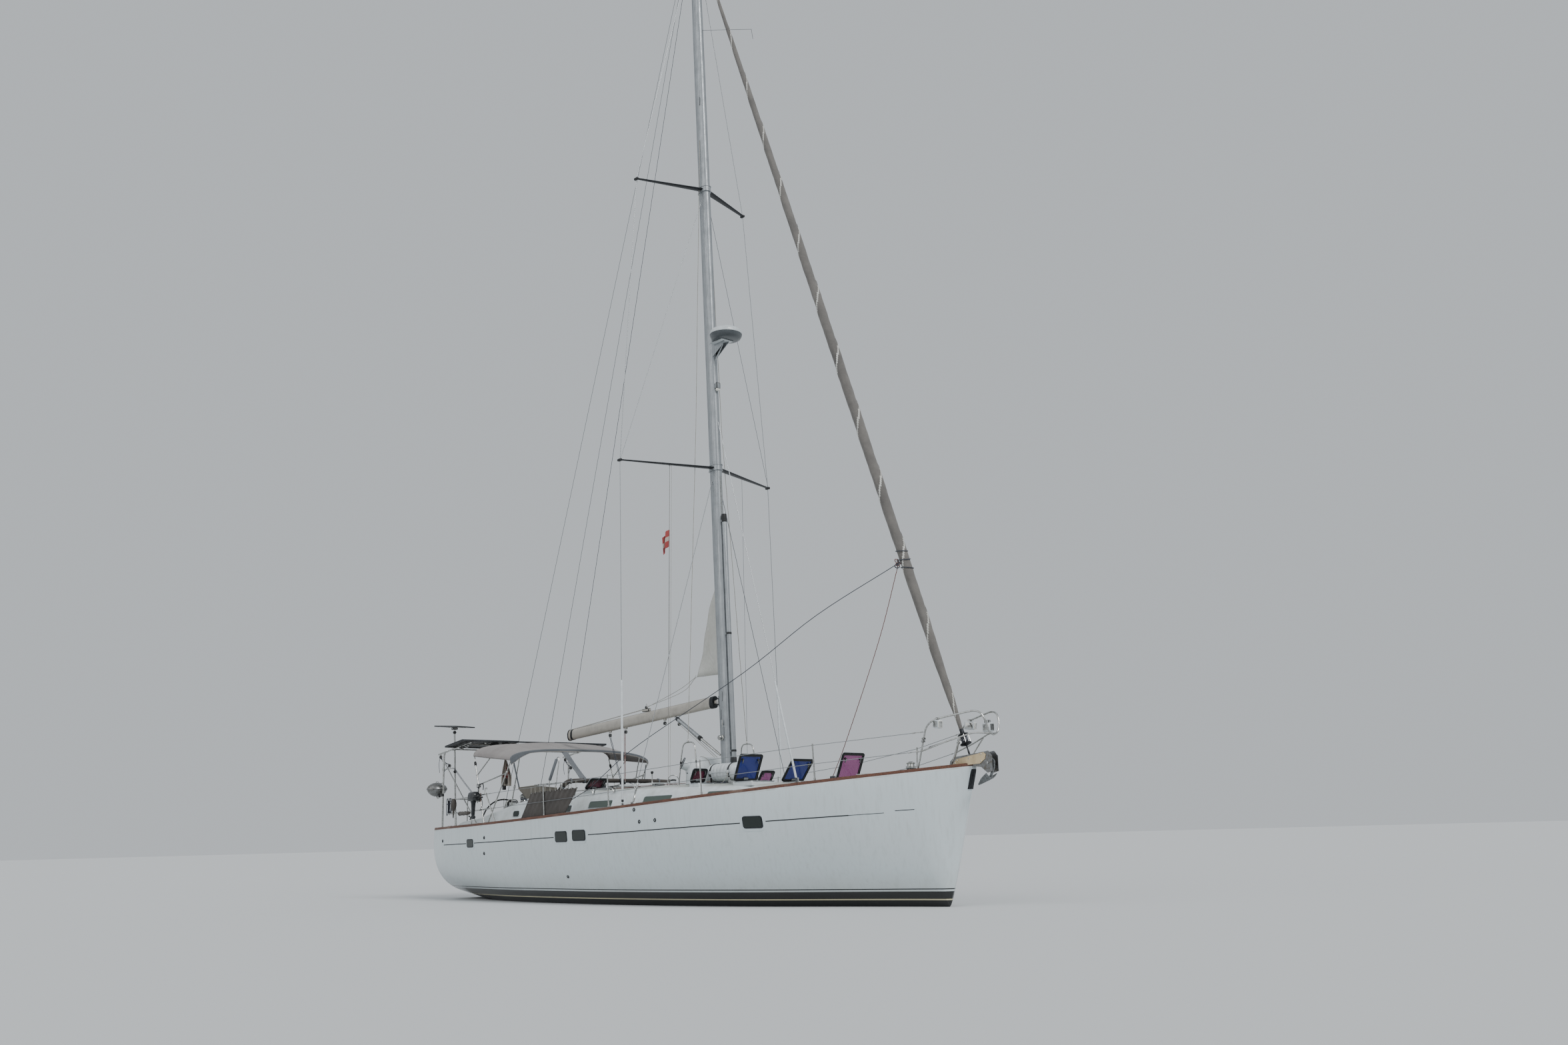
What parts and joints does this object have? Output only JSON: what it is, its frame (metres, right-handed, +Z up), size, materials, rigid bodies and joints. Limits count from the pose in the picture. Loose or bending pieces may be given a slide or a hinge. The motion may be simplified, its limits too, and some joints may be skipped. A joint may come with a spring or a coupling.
{
  "type": "sailing yacht",
  "caption": "Masthead sloop afloat: decked hull with open cockpit, fin keel, turning rudder and wheels, rigged mast with furled headsail, boom, shade canopy and opening hatches.",
  "frame": {"origin": "on the centreline at the waterline, at the middle of the hull length", "axes": "+X to the bow, +Y to port, +Z up"},
  "size_m": [14.6182, 4.3, 22.2753],
  "materials": {
    "hull_gelcoat": "glossy white topsides with black and cream lines, black below the water",
    "deck_gelcoat": "off-white moulded deck",
    "antifouling": "matt black antifouling",
    "toe_rail_wood": "oiled brown timber",
    "drive_casting": "painted drive leg",
    "bronze": "bare bronze",
    "spar_alloy": "grey-white painted alloy",
    "black_alloy": "black anodised",
    "sail_cover": "grey-taupe sun strip on the rolled sail",
    "sailcloth": "white woven sailcloth",
    "boom_paint": "pale cream paint",
    "stainless": "polished stainless steel",
    "polished_steel": "weathered stainless steel",
    "stay_wire": "stranded stainless wire",
    "galvanised_steel": "galvanised",
    "solar_glass": "dark solar cells in a pale frame",
    "shade_fabric": "taupe acrylic canvas",
    "dark_fabric": "dark grey-brown canvas",
    "white_plastic": "white plastic",
    "fender_vinyl": "grey-white vinyl",
    "engine_plastic": "black cowling",
    "wheel_leather": "dark stitched leather on steel",
    "hatch_glass": "dark tinted acrylic in an alloy frame"
  },
  "bodies": {
    "yacht": {"hull": "hull_gelcoat", "deck": "deck_gelcoat", "cockpit": "deck_gelcoat", "keel": "antifouling", "toe_rail": "toe_rail_wood", "drive_leg": "drive_casting", "mast": "spar_alloy", "lower_spreaders": "black_alloy", "upper_spreaders": "black_alloy", "furled_genoa": "sail_cover", "bow_roller": "stainless", "furler_drum": "black_alloy", "inner_stay": "stay_wire", "gooseneck": "black_alloy", "whisker_pole": "spar_alloy", "main_clew": "sailcloth", "radar": "white_plastic", "anchor": "galvanised_steel", "windlass": "stainless", "bow_pulpit": "stainless", "stern_arch": "stainless", "solar_panels": "solar_glass", "solar_post": "solar_glass", "shade_frame": "stainless", "shade_canopy": "shade_fabric", "side_cloth": "dark_fabric", "folded_hood": "dark_fabric", "cockpit_table": "deck_gelcoat", "life_raft": "white_plastic", "vent_hood": "white_plastic", "stowed_fender": "fender_vinyl", "barbecue": "polished_steel", "outboard_motor": "engine_plastic", "cap_shroud_stbd": "stay_wire", "cap_shroud_port": "stay_wire", "lower_shroud_stbd": "stay_wire", "lower_shroud_port": "stay_wire", "backstay_stbd": "stay_wire", "backstay_port": "stay_wire", "lifelines_stbd": "stainless", "lifelines_port": "stainless", "pushpit_stbd": "stainless", "pushpit_port": "stainless", "wheel_pedestal_stbd": "deck_gelcoat", "wheel_pedestal_port": "deck_gelcoat", "granny_bars_stbd": "stainless", "granny_bars_port": "stainless"},
    "boom": {"boom": "boom_paint", "vang": "spar_alloy"},
    "rudder": {"rudder": "antifouling"},
    "propeller": {"propeller": "bronze"},
    "steering_wheel_stbd": {"steering_wheel_stbd": "wheel_leather"},
    "steering_wheel_port": {"steering_wheel_port": "wheel_leather"},
    "boarding_ladder": {"boarding_ladder": "stainless"},
    "hatch_lid_saloon_stbd": {"hatch_lid_saloon_stbd": "hatch_glass"},
    "hatch_lid_saloon_port": {"hatch_lid_saloon_port": "hatch_glass"},
    "hatch_lid_fore": {"hatch_lid_fore": "hatch_glass"},
    "hatch_lid_side_stbd": {"hatch_lid_side_stbd": "hatch_glass"},
    "hatch_lid_side_port": {"hatch_lid_side_port": "hatch_glass"},
    "hatch_lid_galley": {"hatch_lid_galley": "hatch_glass"}
  },
  "joints": [
    {"name": "boom_swing", "type": "hinge", "parent": "yacht", "child": "boom", "pos_m": [0.77552, 0, 3.64], "axis": [-0.0391, 0, 0.9992], "range_deg": [-70, 70]},
    {"name": "rudder_turn", "type": "hinge", "parent": "yacht", "child": "rudder", "pos_m": [-5.95, 0, 0], "axis": [0.1045, 0, 0.9945], "range_deg": [-35, 35]},
    {"name": "propeller_spin", "type": "hinge", "parent": "yacht", "child": "propeller", "pos_m": [-3.3, 0, -0.84], "axis": [1, 0, 0], "continuous": true},
    {"name": "wheel_turn_stbd", "type": "hinge", "parent": "yacht", "child": "steering_wheel_stbd", "pos_m": [-5.26, -1, 1.53], "axis": [1, 0, 0], "range_deg": [-270, 270]},
    {"name": "wheel_turn_port", "type": "hinge", "parent": "yacht", "child": "steering_wheel_port", "pos_m": [-5.26, 1, 1.53], "axis": [1, 0, 0], "range_deg": [-270, 270]},
    {"name": "ladder_drop", "type": "hinge", "parent": "yacht", "child": "boarding_ladder", "pos_m": [-7.125, 0, 0.505], "axis": [0, 1, 0], "range_deg": [-175, 0]},
    {"name": "saloon_stbd_hatch_open", "type": "hinge", "parent": "yacht", "child": "hatch_lid_saloon_stbd", "pos_m": [2.17, -0.56, 2.0913], "axis": [0, 1, 0], "range_deg": [-29, 66]},
    {"name": "saloon_port_hatch_open", "type": "hinge", "parent": "yacht", "child": "hatch_lid_saloon_port", "pos_m": [2.17, 0.56, 2.0913], "axis": [0, 1, 0], "range_deg": [-45, 50]},
    {"name": "fore_hatch_open", "type": "hinge", "parent": "yacht", "child": "hatch_lid_fore", "pos_m": [4.16, 0, 2.00404], "axis": [0, 1, 0], "range_deg": [-29, 66]},
    {"name": "side_stbd_hatch_open", "type": "hinge", "parent": "yacht", "child": "hatch_lid_side_stbd", "pos_m": [1.11, -0.8, 2.11043], "axis": [0, 1, 0], "range_deg": [-31, 64]},
    {"name": "side_port_hatch_open", "type": "hinge", "parent": "yacht", "child": "hatch_lid_side_port", "pos_m": [1.11, 0.8, 2.11043], "axis": [0, 1, 0], "range_deg": [-39, 56]},
    {"name": "galley_hatch_open", "type": "hinge", "parent": "yacht", "child": "hatch_lid_galley", "pos_m": [-1.95, -0.98, 2.12331], "axis": [0, 1, 0], "range_deg": [-55, 40]}
  ],
  "couplings": [
    {"joint": "wheel_turn_stbd", "follows": "rudder_turn", "ratio": 7.7},
    {"joint": "wheel_turn_port", "follows": "rudder_turn", "ratio": 7.7}
  ]
}
